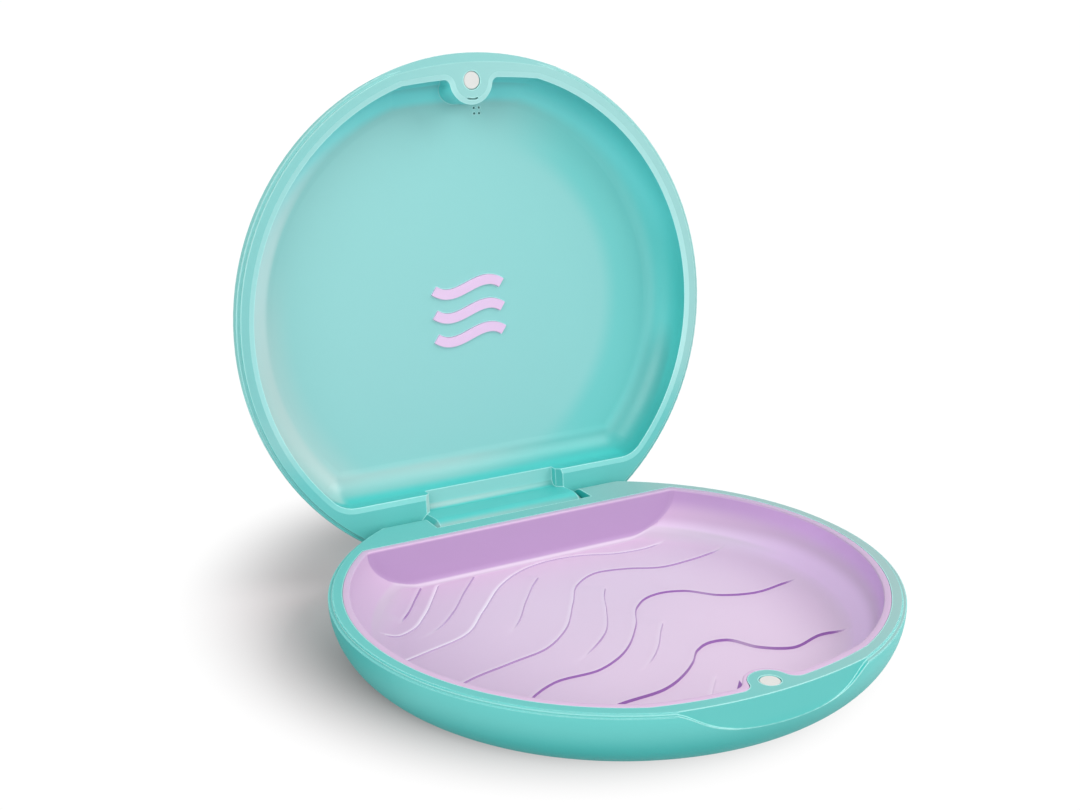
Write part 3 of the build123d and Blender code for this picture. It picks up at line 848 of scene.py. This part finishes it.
# The shells and the liner take painted light and shade from their shade functions
base_teal = moulded_plastic("base_teal", TEAL_LOW, TEAL_HIGH, 0.45, 0.00002,
                            {"Specular IOR Level": 0.3}, base_painted_light)
lid_teal = moulded_plastic("lid_teal", TEAL_LOW, TEAL_HIGH, 0.42, 0.00002,
                           {"Specular IOR Level": 0.7, "Coat Weight": 0.3, "Coat Roughness": 0.4},
                           lid_painted_light)
lilac = moulded_plastic("lilac_soft_moulding", LILAC_LOW, LILAC_HIGH, 0.55, 0.00002,
                        {"Specular IOR Level": 0.35}, liner_painted_light)
inlay = moulded_plastic("lilac_inlay", colour(216, 186, 219), colour(222, 194, 224), 0.4,
                        0.00001)
magnet = moulded_plastic("white_magnet_coat", colour(208, 206, 203), colour(216, 213, 210), 0.38,
                         0.00004)
steel = moulded_plastic("pin_steel", colour(176, 178, 182), colour(196, 198, 202), 0.3, 0.00001,
                        {"Metallic": 1.0})

for node, material in {"base_shell": base_teal, "lid_shell": lid_teal, "base_magnet": magnet,
                       "lid_magnet": magnet, "lid_inlay": inlay, "hinge_pin": steel}.items():
    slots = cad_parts[node].data.materials
    slots.clear()
    slots.append(material)

liner = tray_liner(lilac)
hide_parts("tray_liner")


# Camera: the photograph's view, with its turns in degrees and its lens in millimetres
CAMERA_PLACE = (-0.1152, -0.1867, 0.1064)
CAMERA_TURN = (72.833, 0.516, -28.878)
CAMERA_LENS = 51.28
CAMERA_SENSOR = 36.0
CAMERA_NEAR = 0.01

# Share of the room's light that falls on things, where the camera sees it white
ROOM_LIGHT = 0.56

# Table: half its side, its colours as seen, at the front and at the rear of the case, its colour
# for the light that it throws back, and the glow that makes it plain white further off. The seen
# colours are darker than the white further off, a painted shade that deepens the case's shadow,
# less so at the rear. It keeps the case's shadow within SHADE_REACH of SHADE_MIDDLE, and turns
# white over SHADE_END of that reach
TABLE_HALF = 3.0
TABLE_SHADE_TINT = (0.445, 0.392, 0.396, 1.0)
TABLE_REAR_SHADE_TINT = (0.665, 0.616, 0.623, 1.0)
TABLE_REAR = 0.045
TABLE_BOUNCE = (0.36, 0.46, 0.46, 1.0)
TABLE_GLOW = 1.02
SHADE_MIDDLE = (-0.005, 0.023, 0.0)
SHADE_REACH = (0.054, 0.065, 1.0)
SHADE_END = (0.62, 1.07)
WHITE = (1.0, 1.0, 1.0, 1.0)

camera_data = bpy.data.cameras.new("camera")
camera_data.lens = CAMERA_LENS
camera_data.sensor_width = CAMERA_SENSOR
camera_data.clip_start = CAMERA_NEAR
camera = bpy.data.objects.new("camera", camera_data)
camera.location = CAMERA_PLACE
camera.rotation_euler = [math.radians(turn) for turn in CAMERA_TURN]
bpy.context.scene.collection.objects.link(camera)
bpy.context.scene.camera = camera


def soft_light(name, place, aim, size, watts):
    """White square lamp at a place, turned to its aim."""
    data = bpy.data.lights.new(name, "AREA")
    data.size = size
    data.energy = watts
    made = bpy.data.objects.new(name, data)
    made.location = place
    made.rotation_euler = (Vector(place) - Vector(aim)).to_track_quat("Z", "Y").to_euler()
    bpy.context.scene.collection.objects.link(made)


soft_light("key_light", (0.40, -0.22, 0.40), aim=(0, 0, 0.02), size=0.35, watts=1.7)
soft_light("front_light", (0.02, -0.58, 0.20), aim=(0, 0, 0.03), size=0.30, watts=0.8)
soft_light("left_fill", (-0.44, -0.28, 0.36), aim=(0, 0, 0.03), size=0.40, watts=1.8)


def seen_rays(wire):
    """1 for rays from the camera and from mirrors and glass, 0 for light."""
    rays = wire.tree.nodes.new("ShaderNodeLightPath")
    seen = (Wire(wire.tree, rays.outputs["Is Camera Ray"])
            + Wire(wire.tree, rays.outputs["Is Glossy Ray"])
            + Wire(wire.tree, rays.outputs["Is Transmission Ray"]))
    return seen.maths("MINIMUM", seen, 1.0)


def studio_world():
    """Even pale room; the camera, mirrors and glass see it white."""
    world = bpy.data.worlds.new("studio")
    bpy.context.scene.world = world
    world.use_nodes = True
    tree = world.node_tree
    background = tree.nodes["Background"]
    feed(background, {"Strength": seen_rays(Wire(tree)) * (1.0 - ROOM_LIGHT) + ROOM_LIGHT})
    background.inputs["Color"].default_value = WHITE


def table_finish():
    """White table that keeps the case's shadow, deepened near the case by a darker seen colour that
    is painted shade; further off the camera sees it plain white.
    """
    made, shader, wire = new_material("white_table", {"Roughness": 0.8, "Specular IOR Level": 0.2})
    place = object_place(wire)
    seen = seen_rays(wire)
    tint = between(axis_of(place, 1), 0.0, TABLE_REAR).mixed(TABLE_SHADE_TINT, TABLE_REAR_SHADE_TINT)
    feed(shader, {"Base Color": seen.mixed(TABLE_BOUNCE, tint)})
    off = vector_maths("DIVIDE", vector_maths("SUBTRACT", place, SHADE_MIDDLE), SHADE_REACH)
    far = between(vector_measure("LENGTH", off), *SHADE_END)
    white = wire.node("ShaderNodeEmission", None, {"Color": WHITE, "Strength": TABLE_GLOW})
    mixed = wire.node("ShaderNodeMixShader", None,
                      {0: far * seen, 1: Wire(wire.tree, shader.outputs[0]), 2: white})
    feed(wire.tree.nodes["Material Output"], {"Surface": mixed})
    return made


def table():
    """Large flat square that the case stands on."""
    corners = [(x * TABLE_HALF, y * TABLE_HALF, 0) for x, y in ((-1, -1), (1, -1), (1, 1), (-1, 1))]
    mesh = bpy.data.meshes.new("table_top")
    mesh.from_pydata(corners, [], [(0, 1, 2, 3)])
    mesh.materials.append(table_finish())
    made = bpy.data.objects.new("table_top", mesh)
    bpy.context.scene.collection.objects.link(made)


studio_world()
table()

bpy.context.scene.view_settings.view_transform = "Standard"
